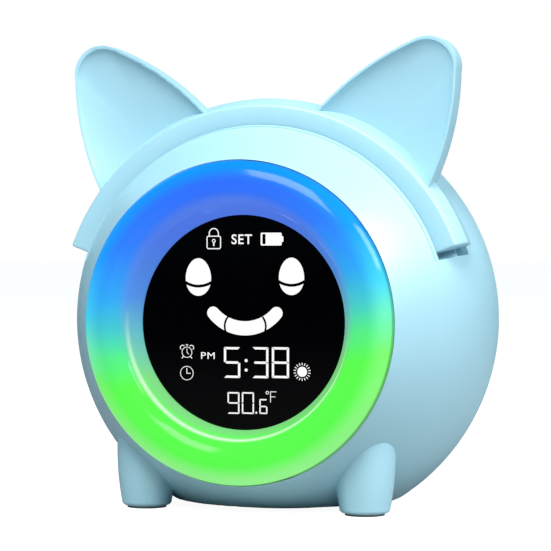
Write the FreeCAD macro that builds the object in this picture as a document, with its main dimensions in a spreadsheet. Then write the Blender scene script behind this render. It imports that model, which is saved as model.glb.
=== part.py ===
"""Kids' alarm clock with a light ring: a ball-shaped case with a press-down headband and two ears.

Every piece is modelled about the centre of the ball, with the display facing -Y, and is then placed so
that the clock stands on Z = 0 with its overall box centred on the origin. Sizes are in millimetres.
"""
import FreeCAD, Part
import Sketcher

import os
import re

SIZES = {
    # ball and its two shells
    "ball_radius": 60.0,
    "wall": 2.2,
    "collar_front": 43.7,      # how far the shell's front is drawn out to meet the light ring
    "collar_radius": 52.0,     # where it leaves the ball
    "collar_lip": 0.45,
    "belly_drop": 50.5,        # flat underside, below the ball's centre
    "floor_drop": 51.7,        # the surface the clock stands on, below the ball's centre
    "seam": 18.0,              # where the rear cover meets the front shell
    "seam_gap": 0.1,
    "lip_reach": 3.0,
    "lip_wall": 1.3,
    "lip_gap": 0.15,
    # light ring, a half tube of milky plastic around the display
    "ring_outer": 43.5,
    "ring_rim": 44.6,          # outer rim, in front of the ball's centre
    "ring_crest_radius": 37.3,
    "ring_crest": 48.5,
    "ring_inner": 31.2,
    "ring_lip": 44.0,
    "ring_wall": 2.0,
    "ring_gap": 0.2,
    "seat": 35.0,              # face of the front shell that the ring and its board rest on
    "seat_plate": 2.0,
    "seat_hole": 34.0,
    "window_radius": 28.8,
    "window_face": 39.6,
    "window_flange": 31.2,
    "funnel_wall": 1.4,
    # light board and what it carries
    "led_board_inner": 34.8,
    "led_board_outer": 40.2,
    "led_board_thick": 1.2,
    "led_side": 3.5,
    "led_high": 1.4,
    "led_circle": 37.5,
    # display
    "panel_wide": 46.0,
    "panel_tall": 43.0,
    "panel_thick": 2.4,
    "backlight_thick": 2.6,
    "frame_wall": 2.0,
    "frame_flange": 38.0,
    "frame_ear_x": 40.2,
    "frame_ear_z": 7.0,
    "standoff_x": 25.0,
    "standoff_z": 22.0,
    "standoff_radius": 2.6,
    # main board
    "board_wide": 57.0,
    "board_tall": 50.0,
    "board_thick": 1.6,
    "board_back": 21.0,        # rear face of the main board, in front of the ball's centre
    # headband
    "band_front": 26.0,
    "band_back": 12.0,
    "band_ridge": 59.3,
    "band_crown": 61.5,
    "band_crown_y": 20.0,
    "band_rear": 60.4,
    "band_wall": 1.8,
    "band_skirt": 1.5,         # how far the band's skirts reach below the ball's surface
    "band_half_angle": 69.6,
    "band_gap": 0.3,
    "band_travel": 1.0,
    "channel_spare": 0.7,      # room left under the skirts when the band is pressed home
    "channel_end": 2.2,        # degrees of channel past each end of the band
    "stem_x": 30.0,
    "stem_y": 19.0,
    "stem_radius": 1.9,
    "stem_gap": 0.1,
    "cup_foot": 34.0,
    "cup_floor": 2.0,
    "cup_radius": 4.9,
    "pocket_radius": 3.7,
    "spring_seat": 47.5,
    "spring_seat_radius": 3.2,
    "spring_radius": 2.75,
    "spring_wire": 0.7,
    "spring_gap": 0.12,        # between the spring and the headband at rest
    "snooze_stem": 1.8,
    # ears
    "ear_face": 24.5,
    "ear_deep": 8.5,
    "ear_dish": 5.0,
    "ear_rim": 1.0,
    "ear_round": 2.0,
    "ear_root_x": 14.5,
    "ear_root_z": 55.6,
    "ear_inside_x": 31.8,
    "ear_inside_z": 70.2,
    "ear_peak_x": 44.5,
    "ear_peak_z": 76.6,
    "ear_tip_x": 51.6,
    "ear_tip_z": 75.9,
    "ear_side_x": 55.2,
    "ear_side_z": 67.5,
    "ear_outside_x": 53.8,
    "ear_outside_z": 54.6,
    "ear_heel_x": 46.7,
    "ear_heel_z": 34.4,
    "ear_middle_x": 41.0,
    "ear_middle_z": 58.0,
    "ear_reach": 19.0,
    # feet and pads
    "foot_x": 31.5,
    "foot_y": 29.5,
    "foot_radius": 8.1,
    "foot_toe": 5.9,
    "foot_pad": 0.6,
    "peg_radius": 2.5,
    "pad_radius": 20.0,
    "pad_y": 3.0,
    # rear panel and its keys
    "recess_radius": 27.0,
    "panel_face": 50.0,
    "panel_plate": 2.0,
    "key_circle": 18.5,
    "key_step": 30.0,
    "key_radius": 3.8,
    "key_gap": 0.2,
    "key_proud": 1.4,
    "key_flange": 4.6,
    "key_stem": 1.6,
    "key_board_face": 39.6,
    "key_board_thick": 1.6,
    "switch_side": 6.0,
    "switch_high": 3.5,
    "plunger_radius": 1.5,
    "rest_gap": 0.05,
    # speaker
    "speaker_radius": 14.0,
    "speaker_z": -4.0,
    "grille_hole": 0.8,
    "grille_step": 2.9,
    # charging socket
    "socket_wide": 9.0,
    "socket_tall": 3.2,
    "socket_long": 7.5,
    "socket_z": -21.0,
    "socket_wall": 0.35,
    # battery
    "cell_radius": 9.0,
    "cell_long": 50.0,
    "cell_y": 0.0,
    "cell_z": -33.5,
    "cell_gap": 0.15,
    "strap_x": 12.0,
    # screws
    "post_x": 33.0,
    "post_z": 26.5,
    "post_radius": 3.4,
    "screw_radius": 1.45,
    "screw_head": 2.7,
    "screw_fit": 0.05,
    "small_screw": 0.95,
    "small_head": 1.8,
}

doc = FreeCAD.newDocument("kids_alarm_clock")
sheet = doc.addObject("Spreadsheet::Sheet", "sizes")
for row, (alias, size) in enumerate(SIZES.items(), start=1):
    sheet.set(f"A{row}", str(size))
    sheet.setAlias(f"A{row}", alias)
doc.recompute()

SCRATCH_CELL = "C1"
UP = FreeCAD.Vector(0, 0, 1)
nodes = []
made = {}


def bound(expression):
    """The expression with each size's name pointing at the sheet."""
    return re.sub(r"[a-z][a-z_0-9]*", lambda m: "sizes." + m.group(0) if m.group(0) in SIZES else m.group(0),
                  str(expression))


def number(expression):
    """The expression's present value, worked out by the sheet."""
    sheet.set(SCRATCH_CELL, "=" + str(expression))
    sheet.recompute()
    return float(sheet.get(SCRATCH_CELL))


def bind(obj, **expressions):
    """Ties properties of an object to expressions of the named sizes."""
    for name, expression in expressions.items():
        obj.setExpression(name.replace("__", "."), bound(expression))
    return obj


def put(obj, x=0, y=0, z=0):
    return bind(obj, Placement__Base__x=x, Placement__Base__y=y, Placement__Base__z=z)


def fresh(kind, stem):
    made[stem] = made.get(stem, 0) + 1
    return doc.addObject(kind, f"{stem}_{made[stem]}")


def ball(radius):
    return bind(fresh("Part::Sphere", "ball"), Radius=radius)


def block(x0, x1, y0, y1, z0, z1):
    """A box between two corners."""
    obj = fresh("Part::Box", "block")
    bind(obj, Length=f"({x1}) - ({x0})", Width=f"({y1}) - ({y0})", Height=f"({z1}) - ({z0})")
    return put(obj, x0, y0, z0)


def rod(axis, x, y, z, radius, length):
    """A cylinder that starts at a point and runs along +axis."""
    obj = bind(fresh("Part::Cylinder", "rod"), Radius=radius, Height=length)
    turn = {"X": FreeCAD.Vector(1, 0, 0), "Y": FreeCAD.Vector(0, 1, 0), "Z": UP}[axis]
    obj.Placement = FreeCAD.Placement(FreeCAD.Vector(), FreeCAD.Rotation(UP, turn))
    return put(obj, x, y, z)


def cut(base, *tools):
    for tool in tools:
        obj = fresh("Part::Cut", "cut")
        obj.Base, obj.Tool = base, tool
        base = obj
    return base


def join(*shapes):
    obj = fresh("Part::MultiFuse", "join")
    obj.Shapes = list(shapes)
    return obj


def shared(*shapes):
    obj = fresh("Part::MultiCommon", "shared")
    obj.Shapes = list(shapes)
    return obj


def group(*shapes):
    obj = fresh("Part::Compound", "group")
    obj.Links = list(shapes)
    return obj


def node(label, obj, x=0, y=0, z=0):
    """Names a finished piece and stands it in the clock's own frame."""
    if obj.TypeId in ("Part::Box", "Part::Cylinder"):
        obj = group(obj)
    obj.Label = label
    ball_y = "(ring_crest - sqrt(ball_radius^2 - recess_radius^2)) / 2"
    put(obj, x, f"{ball_y} + ({y})", f"floor_drop + ({z})")
    nodes.append(obj)
    return obj


def outline(sketch, points, curves):
    """Draws a closed outline. Points are pairs of expressions, and curves maps the number of a side to
    the point that this side's arc passes through."""
    spots = [FreeCAD.Vector(number(a), number(b), 0) for a, b in points]
    ends = {}
    for k, start in enumerate(spots):
        end = spots[(k + 1) % len(spots)]
        ends[k] = (1, 2)
        if k not in curves:
            sketch.addGeometry(Part.LineSegment(start, end))
            continue
        middle = FreeCAD.Vector(number(curves[k][0]), number(curves[k][1]), 0)
        if (middle - start).cross(end - middle).z > 0:
            sketch.addGeometry(Part.Arc(start, middle, end))
        else:
            sketch.addGeometry(Part.Arc(end, middle, start))
            ends[k] = (2, 1)
    for k, (a, b) in enumerate(points):
        first = ends[k][0]
        before = (k - 1) % len(spots)
        sketch.addConstraint(Sketcher.Constraint("Coincident", before, ends[before][1], k, first))
        for kind, expression, value in (("DistanceX", a, spots[k].x), ("DistanceY", b, spots[k].y)):
            index = sketch.addConstraint(Sketcher.Constraint(kind, -1, 1, k, first, value))
            sketch.setExpression(f"Constraints[{index}]", bound(expression))
    for k, (a, b) in curves.items():
        radius = sketch.Geometry[k].Radius
        index = sketch.addConstraint(Sketcher.Constraint("Radius", k, radius))
        sketch.setExpression(f"Constraints[{index}]", bound(circle_radius(points[k], (a, b),
                                                                          points[(k + 1) % len(points)])))


def circle_radius(p, q, r):
    """The expression for the radius of the circle through three points."""
    def side(one, two):
        return f"sqrt((({one[0]}) - ({two[0]}))^2 + (({one[1]}) - ({two[1]}))^2)"
    doubled = (f"abs((({q[0]}) - ({p[0]})) * (({r[1]}) - ({p[1]}))"
               f" - (({r[0]}) - ({p[0]})) * (({q[1]}) - ({p[1]})))")
    return f"{side(p, q)} * {side(q, r)} * {side(r, p)} / (2 * {doubled})"


def plane_of(body, role):
    return next(f for f in body.Origin.OriginFeatures if f.Role == role)


def sketched(label, plane, points, curves=None):
    body = fresh("PartDesign::Body", label)
    sketch = body.newObject("Sketcher::SketchObject", body.Name + "_outline")
    sketch.AttachmentSupport = [(plane_of(body, plane), "")]
    sketch.MapMode = "FlatFace"
    outline(sketch, points, curves or {})
    return body, sketch


def turned(label, points, curves=None, angle="360"):
    """A piece turned about the Y axis. Points are (distance from the axis, y). A part turn is centred
    on straight up."""
    body, sketch = sketched(label, "XY_Plane", points, curves)
    revolve = body.newObject("PartDesign::Revolution", body.Name + "_turn")
    revolve.Profile = sketch
    revolve.ReferenceAxis = (sketch, ["V_Axis"])
    revolve.Midplane = True
    bind(revolve, Angle=angle)
    body.Placement = FreeCAD.Placement(FreeCAD.Vector(), FreeCAD.Rotation(FreeCAD.Vector(0, 1, 0), -90))
    return body


def spun(label, points, curves=None):
    """A piece turned about the Z axis. Points are (distance from the axis, z)."""
    body, sketch = sketched(label, "XZ_Plane", points, curves)
    revolve = body.newObject("PartDesign::Revolution", body.Name + "_turn")
    revolve.Profile = sketch
    revolve.ReferenceAxis = (sketch, ["V_Axis"])
    return body


def padded_outline(label, plane, points, curves, depth):
    body, sketch = sketched(label, plane, points, curves)
    pad = body.newObject("PartDesign::Pad", body.Name + "_pad")
    pad.Profile = sketch
    bind(pad, Length=depth)
    return body, pad


def screw(axis, x, y, z, sign, length, radius, head, head_high):
    """A screw whose head's underside is at a point, and whose shank runs the way of sign along axis."""
    spot = {"X": x, "Y": y, "Z": z}
    start = dict(spot)
    under = dict(spot)
    if sign < 0:
        start[axis] = f"({spot[axis]}) - ({length})"
    else:
        under[axis] = f"({spot[axis]}) - ({head_high})"
    shank = rod(axis, start["X"], start["Y"], start["Z"], radius, length)
    cap = rod(axis, under["X"], under["Y"], under["Z"], head, head_high)
    return join(shank, cap)


def half_space(y0, y1):
    far = "2 * ball_radius"
    return block(f"-{far}", far, y0, y1, "-belly_drop", far)


def case_half(y0, y1, cavity_y0, cavity_y1):
    """A slice of the hollow ball with its flat belly."""
    far = "2 * ball_radius"
    outside = shared(ball("ball_radius"), half_space(y0, y1))
    inside = shared(ball("ball_radius - wall"), block(f"-{far}", far, cavity_y0, cavity_y1,
                                                      "wall - belly_drop", far))
    return cut(outside, inside)


# Places that several pieces share
SKIRT_FRONT = "sqrt(ball_radius^2 - band_front^2) - band_skirt"
SKIRT_BACK = "sqrt(ball_radius^2 - band_back^2) - band_skirt"
FLOOR_FRONT = f"{SKIRT_FRONT} - band_travel - channel_spare"
FLOOR_BACK = f"{SKIRT_BACK} - band_travel - channel_spare"
SEAT_BACK = "seat_plate - seat"
PANEL_BACK = "panel_face - panel_plate"
SOCKET_BOARD_TOP = "socket_z - socket_tall / 2 - rest_gap"
SIDES = (-1, 1)
KEYS = ("mode_key", "down_key", "light_key", "up_key", "alarm_key")
KEY_MIDDLE = 2
LEDS = 16
FULL = "2 * ball_radius"


def channel():
    """The groove that the headband sinks into."""
    points = [(FLOOR_FRONT, "-band_front - band_gap"), (FULL, "-band_front - band_gap"),
              (FULL, "band_gap - band_back"), (FLOOR_BACK, "band_gap - band_back")]
    return turned("channel", points, angle="2 * (band_half_angle + channel_end)")


def channel_liner():
    """The wall that closes the groove off from the inside of the case."""
    points = [(f"{FLOOR_FRONT} - wall", "-band_front - band_gap - wall"),
              (FULL, "-band_front - band_gap - wall"),
              (FULL, "band_gap - band_back + wall"),
              (f"{FLOOR_BACK} - wall", "band_gap - band_back + wall")]
    arc = turned("liner", points, angle="2 * (band_half_angle + 2 * channel_end)")
    return shared(arc, ball("ball_radius - wall / 2"))


def screw_posts():
    """Posts of the front shell that take the four long case screws."""
    posts = [rod("Y", f"{a} * post_x", SEAT_BACK, f"{b} * post_z", "post_radius",
                 f"seam - seam_gap - ({SEAT_BACK})") for a in SIDES for b in SIDES]
    holes = [rod("Y", f"{a} * post_x", "seam - 16", f"{b} * post_z", "screw_radius + screw_fit", 18)
             for a in SIDES for b in SIDES]
    return posts, holes


def collar():
    """The fuller front of the shell, which runs from the ball to the light ring."""
    edge = "sqrt(ball_radius^2 - collar_radius^2)"
    points = [("ring_outer", f"-({edge})"), ("ring_outer", "-collar_front"),
              ("ring_outer + collar_lip", "-collar_front"), ("collar_radius", f"-({edge})")]
    far = "2 * ball_radius"
    standing = block(f"-{far}", far, f"-{far}", 0, "-belly_drop", far)
    return cut(shared(turned("collar", points), standing), ball("ball_radius - wall"))


def front_shell():
    shell = case_half("-1.5 * ball_radius", "seam - seam_gap", SEAT_BACK, "seam + wall")
    posts, post_holes = screw_posts()
    cups = [rod("Z", f"{a} * stem_x", "-stem_y", "cup_foot", "cup_radius", 16) for a in SIDES]
    hangers = [rod("Z", f"{a} * 6", "-stem_y", "41.6", 2, 10.5) for a in SIDES]
    solid = join(shell, collar(), channel_liner(), *posts, *cups, *hangers)
    opening = rod("Y", 0, "-1.2 * ball_radius", 0, "ring_outer + ring_gap", "1.2 * ball_radius - seat")
    bore = rod("Y", 0, "-ball_radius", 0, "seat_hole", "ball_radius - 5")
    tools = [channel(), opening, bore, *post_holes]
    for a in SIDES:
        tools.append(rod("Z", f"{a} * stem_x", "-stem_y", "cup_foot + cup_floor", "pocket_radius", 20))
        tools.append(rod("Z", f"{a} * stem_x", "-stem_y", "cup_foot - 1", "stem_radius + stem_gap", 5))
        tools.append(rod("Z", f"{a} * 6", "-stem_y", "41", "small_screw + screw_fit", 7))
        tools.append(rod("Z", f"{a} * foot_x", "-foot_y", "-belly_drop", "peg_radius + screw_fit", 20))
        for b in SIDES:
            tools.append(rod("Y", f"{a} * frame_ear_x", "-seat - 1", f"{b} * frame_ear_z",
                             "small_screw + screw_fit", 5))
    tools.append(rod("Z", 0, "-stem_y", "44", "snooze_stem + 0.5", 16))
    return node("front_shell", cut(solid, join(*tools)))


def lip_slice(radius, front):
    """Part of the lip that locates the rear cover inside the front shell."""
    ring = cut(ball(radius), ball("ball_radius - wall - lip_gap - lip_wall"))
    return shared(ring, block(f"-{FULL}", FULL, front, "seam + lip_wall", "wall - belly_drop + lip_gap", FULL))


def rear_cover():
    shell = case_half("seam", "1.5 * ball_radius", "0", PANEL_BACK)
    lip = lip_slice("ball_radius - wall - lip_gap", "seam - lip_reach")
    root = lip_slice("ball_radius - wall / 2", "seam + lip_gap")
    wells = [rod("Y", f"{a} * post_x", "seam", f"{b} * post_z", "screw_head + 1.6", 24)
             for a in SIDES for b in SIDES]
    wells = shared(join(*wells), ball("ball_radius - wall / 2"))
    bosses = [rod("Y", x, "key_board_face", z, 2.2, f"{PANEL_BACK} - key_board_face + 0.5")
              for x, z in board_bosses()]
    speaker_bosses = [rod("Y", f"{a} * 17.5", "43.5", "speaker_z", 2.0, f"{PANEL_BACK} - 43.5 + 0.5")
                      for a in SIDES]
    rails = [block(f"{a} * 10 - 1.2", f"{a} * 10 + 1.2", "38", f"{PANEL_BACK} + 0.5",
                   f"{SOCKET_BOARD_TOP} - 5", f"{SOCKET_BOARD_TOP} - board_thick - rest_gap")
             for a in SIDES]
    solid = join(shell, lip, root, wells, *bosses, *speaker_bosses, *rails)
    tools = [rod("Y", 0, "panel_face", 0, "recess_radius", 20)]
    for a in SIDES:
        for b in SIDES:
            tools.append(rod("Y", f"{a} * post_x", "seam + 4", f"{b} * post_z", "screw_head + 0.3", 40))
            tools.append(rod("Y", f"{a} * post_x", "seam - 6", f"{b} * post_z", "screw_radius + 0.2", 12))
        tools.append(rod("Y", f"{a} * 17.5", "43", "speaker_z", "small_screw + screw_fit", 4.5))
        tools.append(rod("Z", f"{a} * 10", "42", f"{SOCKET_BOARD_TOP} - 6", 0.6, 6))
    for x, z in board_bosses():
        tools.append(rod("Y", x, "key_board_face - 1", z, "small_screw + screw_fit", 7))
    for k in range(len(KEYS)):
        x, z = key_place(k)
        tools.append(rod("Y", x, f"{PANEL_BACK} - 1", z, "key_radius + key_gap", 6))
    for x, z in grille_places():
        tools.append(rod("Y", x, f"{PANEL_BACK} - 1", z, "grille_hole", 6))
    gap = "0.2"
    tools.append(block(f"-socket_wide / 2 - {gap}", f"socket_wide / 2 + {gap}", f"{PANEL_BACK} - 1",
                       "panel_face + 1", f"socket_z - socket_tall / 2 - {gap}",
                       f"socket_z + socket_tall / 2 + {gap}"))
    return node("rear_cover", cut(solid, join(*tools)))


def key_place(k):
    turn = f"(90 - (({k}) - {KEY_MIDDLE}) * key_step)"
    return f"key_circle * cos({turn} * 1 deg)", f"key_circle * sin({turn} * 1 deg)"


def board_bosses():
    return [(f"{a} * {x}", z) for a in SIDES for x, z in (("8.8", "24.2"), ("22.5", "2.6"))]


def grille_places():
    """The speaker's sound holes, in rings about its middle."""
    places = [("0", "speaker_z")]
    for ring, count in ((1, 6), (2, 12), (3, 18)):
        for k in range(count):
            turn = 360.0 * k / count
            places.append((f"{ring} * grille_step * cos({turn} deg)", f"speaker_z + {ring} * grille_step * sin({turn} deg)"))
    return places


def light_ring():
    """Half a tube of milky plastic, with a skirt into the case and a funnel down to the window."""
    points = [
        ("ring_outer", "-seat - rest_gap"),
        ("ring_outer", "-ring_rim"),
        ("ring_inner", "-ring_lip"),
        ("window_radius + ring_gap", "-window_face - ring_gap"),
        ("window_radius + ring_gap", "1.3 - window_face"),
        ("window_radius + ring_gap + funnel_wall", "1.3 - window_face"),
        ("ring_inner + ring_wall", "1.4 - ring_lip"),
        ("ring_outer - ring_wall", "1.4 - ring_rim"),
        ("ring_outer - ring_wall", "-seat - rest_gap"),
    ]
    curves = {1: ("ring_crest_radius", "-ring_crest"),
              6: ("ring_crest_radius", "ring_wall - ring_crest")}
    return node("light_ring", turned("light_ring", points, curves))


def light_board():
    board = cut(rod("Y", 0, "-seat - led_board_thick", 0, "led_board_outer", "led_board_thick"),
                rod("Y", 0, "-seat - led_board_thick - 1", 0, "led_board_inner", "led_board_thick + 2"))
    node("light_board", board)
    lamps = []
    for k in range(LEDS):
        turn = 360.0 * k / LEDS
        lamp = rod("Y", f"led_circle * cos({turn} deg)", "-seat - led_board_thick - led_high",
                   f"led_circle * sin({turn} deg)", "led_side / 2", "led_high")
        lamps.append(lamp)
    node("ring_leds", group(*lamps))
    reflector = [("led_board_inner + 0.1", "-seat - led_board_thick - rest_gap"),
                 ("led_board_inner + 0.1", "-seat - led_board_thick - 4.6"),
                 ("led_board_inner + 0.7", "-seat - led_board_thick - 4.6"),
                 ("led_circle - led_side / 2 - 0.25", "-seat - led_board_thick - 1.2"),
                 ("led_circle - led_side / 2 - 0.25", "-seat - led_board_thick - rest_gap")]
    inner = turned("reflector", reflector)
    outer_points = [("led_board_outer - 0.1", "-seat - led_board_thick - rest_gap"),
                    ("led_board_outer - 0.1", "-seat - led_board_thick - 4.6"),
                    ("led_board_outer - 0.5", "-seat - led_board_thick - 4.6"),
                    ("led_circle + led_side / 2 + 0.25", "-seat - led_board_thick - 1.2"),
                    ("led_circle + led_side / 2 + 0.25", "-seat - led_board_thick - rest_gap")]
    node("inner_reflector", inner)
    node("outer_reflector", turned("reflector", outer_points))


def display():
    """The smoked window, the glass panel behind it, its backlight and the frame that holds them."""
    flange_front = "-window_face + 1.4"
    flange_back = "-window_face + 2.6"
    window = [("0", "-window_face"), ("window_radius", "-window_face"), ("window_radius", flange_front),
              ("window_flange", flange_front), ("window_flange", flange_back), ("0", flange_back)]
    node("display_window", turned("window", window))
    panel_front = f"({flange_back}) + 0.1"
    panel_back = f"{panel_front} + panel_thick"
    light_back = f"{panel_back} + 0.1 + backlight_thick"
    w, h = "panel_wide / 2", "panel_tall / 2"
    node("display_panel", block(f"-{w}", w, panel_front, panel_back, f"-{h}", h))
    node("backlight", block(f"-{w}", w, f"{panel_back} + 0.1", light_back, f"-{h}", h))
    back = f"{light_back} + 0.1"
    tray = rod("Y", 0, f"{flange_back} + rest_gap", 0, "window_flange + 1.4",
               f"{back} + frame_wall - ({flange_back}) - rest_gap")
    flange = rod("Y", 0, f"{SEAT_BACK} + 0.05", 0, "frame_flange", "1.8")
    standoffs = [rod("Y", f"{a} * standoff_x", f"{SEAT_BACK} + 1", f"{b} * standoff_z", "standoff_radius",
                     f"-board_back - board_thick - ({SEAT_BACK}) - 1") for a in SIDES for b in SIDES]
    ears = [rod("Y", f"{a} * frame_ear_x", f"{SEAT_BACK} + 0.05", f"{b} * frame_ear_z", 3.2, 1.8)
            for a in SIDES for b in SIDES]
    hollow = block(f"-{w} - 0.2", f"{w} + 0.2", "-window_face", back, f"-{h} - 0.2", f"{h} + 0.2")
    wire_slot = block("-12", "12", back, f"{back} + frame_wall + 1", f"-{h} + 1", f"-{h} + 6")
    holes = [rod("Y", f"{a} * frame_ear_x", SEAT_BACK, f"{b} * frame_ear_z", "small_screw + 0.15", 4)
             for a in SIDES for b in SIDES]
    holes += [rod("Y", f"{a} * standoff_x", "-board_back - board_thick - 6", f"{b} * standoff_z",
                  "small_screw + screw_fit", 7) for a in SIDES for b in SIDES]
    frame = cut(join(tray, flange, *ears, *standoffs), join(hollow, wire_slot, *holes))
    node("display_frame", frame)
    screws = [screw("Y", f"{a} * frame_ear_x", f"{SEAT_BACK} + 1.9", f"{b} * frame_ear_z", -1, 3.6,
                    "small_screw", "small_head", 1.2) for a in SIDES for b in SIDES]
    node("display_frame_screws", group(*screws))


def main_board():
    front = "-board_back - board_thick"
    w, h = "board_wide / 2", "board_tall / 2"
    board = block(f"-{w}", w, front, "-board_back", f"-{h}", h)
    holes = [rod("Y", f"{a} * standoff_x", f"{front} - 1", f"{b} * standoff_z", "small_screw + 0.15", 4)
             for a in SIDES for b in SIDES]
    node("main_board", cut(board, join(*holes)))
    screws = [screw("Y", f"{a} * standoff_x", "-board_back", f"{b} * standoff_z", -1, 5, "small_screw", "small_head", 1.2)
              for a in SIDES for b in SIDES]
    node("main_board_screws", group(*screws))
    controller = block("-6", "6", "-board_back", "-board_back + 1.6", "-2", "10")
    sound = block("9", "15", "-board_back", "-board_back + 1.5", "2", "7")
    node("board_chips", group(controller, sound))
    node("clock_crystal", rod("X", "-17", "-board_back + 1.6", "8", 1.5, 7))
    cans = [rod("Y", x, "-board_back", z, 2.5, 6) for x, z in (("-17", "-6"), ("-11", "-6"), ("17", "-8"))]
    node("capacitors", group(*cans))
    plugs = [block(f"{x} - 4", f"{x} + 4", "-board_back", "-board_back + 5.5", "-20", "-15")
             for x in ("-14", "0", "14")]
    node("board_connectors", group(*plugs))
    legs = [rod("Z", f"20 + {a} * 1.1", "-board_back - board_thick / 2", "-37.5", 0.25, f"37.5 - {h} - 0.05")
            for a in SIDES]
    bead = rod("Z", "20", "-board_back - board_thick / 2", "-39.5", 1.7, 2.2)
    node("temperature_sensor", join(bead, *legs))


def headband():
    front = [(SKIRT_FRONT, "-band_front"), ("band_ridge", "-band_front"), ("band_crown", "-band_crown_y"),
             ("band_rear", "-band_back"), (SKIRT_BACK, "-band_back"),
             (SKIRT_BACK, "-band_back - band_wall"),
             ("band_rear - band_wall", "-band_back - band_wall"),
             ("band_crown - band_wall - 0.1", "-band_crown_y"),
             ("band_ridge - band_wall + 0.1", "-band_front + band_wall"),
             (SKIRT_FRONT, "-band_front + band_wall")]
    band = turned("band", front, angle="2 * band_half_angle")
    solid = shared(join(*[rod("Z", f"{a} * stem_x", "-stem_y", "cup_foot - rest_gap", "stem_radius", 24)
                          for a in SIDES],
                        *[rod("Z", f"{a} * stem_x", "-stem_y", "spring_seat", "spring_seat_radius", 12)
                          for a in SIDES],
                        rod("Z", 0, "-stem_y", "46.3", "snooze_stem", 20)),
                   band_envelope())
    bores = [rod("Z", f"{a} * stem_x", "-stem_y", "cup_foot - 1", "small_screw + screw_fit", 9) for a in SIDES]
    return node("headband", cut(join(band, solid), join(*bores)))


def band_envelope():
    """All that lies under the headband's outer surface."""
    points = [("0", "-band_front"), ("band_ridge", "-band_front"), ("band_crown", "-band_crown_y"),
              ("band_rear", "-band_back"), ("0", "-band_back")]
    return turned("envelope", points)


def ear_outline(side, inset):
    """The ear seen from the front, drawn in by inset towards its middle."""
    def spot(name):
        share = f"(1 - ({inset}) / ear_reach)"
        return (f"{side} * (ear_middle_x + (ear_{name}_x - ear_middle_x) * {share})",
                f"ear_middle_z + (ear_{name}_z - ear_middle_z) * {share}")
    points = [spot("root"), spot("peak"), spot("side"), spot("heel")]
    return points, {0: spot("inside"), 1: spot("tip"), 2: spot("outside")}


def ears():
    """Two ears with a dished face and a rounded back, which stand on the headband."""
    points, curves = ear_outline(-1, "0")
    body, pad = padded_outline("ear", "XZ_Plane", points, curves, "ear_deep")
    pad.Reversed = True
    dish_points, dish_curves = ear_outline(-1, "ear_rim")
    sketch = body.newObject("Sketcher::SketchObject", body.Name + "_dish_outline")
    sketch.AttachmentSupport = [(plane_of(body, "XZ_Plane"), "")]
    sketch.MapMode = "FlatFace"
    outline(sketch, dish_points, dish_curves)
    dish = body.newObject("PartDesign::Pocket", body.Name + "_dish")
    dish.Profile = sketch
    bind(dish, Length="ear_dish")
    doc.recompute()
    back = [f"Edge{k + 1}" for k, e in enumerate(dish.Shape.Edges)
            if e.BoundBox.YMin > number("ear_deep") - 1e-6 and e.Curve.TypeId != "Part::GeomLine"]
    rounded = body.newObject("PartDesign::Fillet", body.Name + "_round")
    rounded.Base = (dish, back)
    bind(rounded, Radius="ear_round")
    put(body, 0, "-ear_face", 0)
    other = fresh("Part::Mirroring", "other_ear")
    other.Source = body
    other.Normal = FreeCAD.Vector(1, 0, 0)
    node("left_ear", cut(body, band_envelope()))
    node("right_ear", cut(other, band_envelope()))


def band_hardware():
    """Return springs, washers and screws of the headband, and the switch that its middle stem presses."""
    washers, screws, springs = [], [], []
    for a in SIDES:
        ring = cut(rod("Z", f"{a} * stem_x", "-stem_y", "cup_foot - rest_gap - 1.0", 3.2, 1.0),
                   rod("Z", f"{a} * stem_x", "-stem_y", "cup_foot - 3", "small_screw + 0.1", 4))
        washers.append(ring)
        screws.append(screw("Z", f"{a} * stem_x", "-stem_y", "cup_foot - rest_gap - 1.0", 1, 8,
                            "small_screw", "small_head", 1.3))
        springs.append(coil(a))
    node("headband_washers", group(*washers))
    node("headband_screws", group(*screws))
    node("headband_springs", group(*springs))
    board = cut(block("-9", "9", "-stem_y - 5", "-stem_y + 5", "40", "41.6"),
                join(*[rod("Z", f"{a} * 6", "-stem_y", "39", "small_screw + 0.15", 4) for a in SIDES]))
    node("snooze_board", board)
    node("snooze_board_screws", group(*[screw("Z", f"{a} * 6", "-stem_y", "40", 1, 6, "small_screw",
                                              "small_head", 1.2) for a in SIDES]))
    half = "switch_side / 2"
    can = cut(block(f"-{half}", half, f"-stem_y - {half}", f"-stem_y + {half}", "41.6", "45.1"),
              rod("Z", 0, "-stem_y", "42.6", "plunger_radius + 0.15", 4))
    node("snooze_switch", can)
    node("snooze_plunger", rod("Z", 0, "-stem_y", "44.0", "plunger_radius", "2.3 - rest_gap"))


def coil(side):
    """A compression spring: one wire wound on a helix, with level ends."""
    low = number("cup_foot + cup_floor + rest_gap + spring_wire / 2")
    high = number("spring_seat - spring_gap - spring_wire / 2")
    turns = 6
    helix = Part.makeHelix((high - low) / turns, high - low, number("spring_radius"))
    start = FreeCAD.Vector(number("spring_radius"), 0, 0)
    ring = Part.Wire(Part.makeCircle(number("spring_wire / 2"), start, FreeCAD.Vector(0, 1, 0)))
    wire = Part.Wire(helix).makePipeShell([ring], True, True)
    obj = fresh("Part::Feature", "coil")
    obj.Shape = wire
    obj.Placement = FreeCAD.Placement(FreeCAD.Vector(side * number("stem_x"), -number("stem_y"), low),
                                      FreeCAD.Rotation())
    return obj


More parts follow.
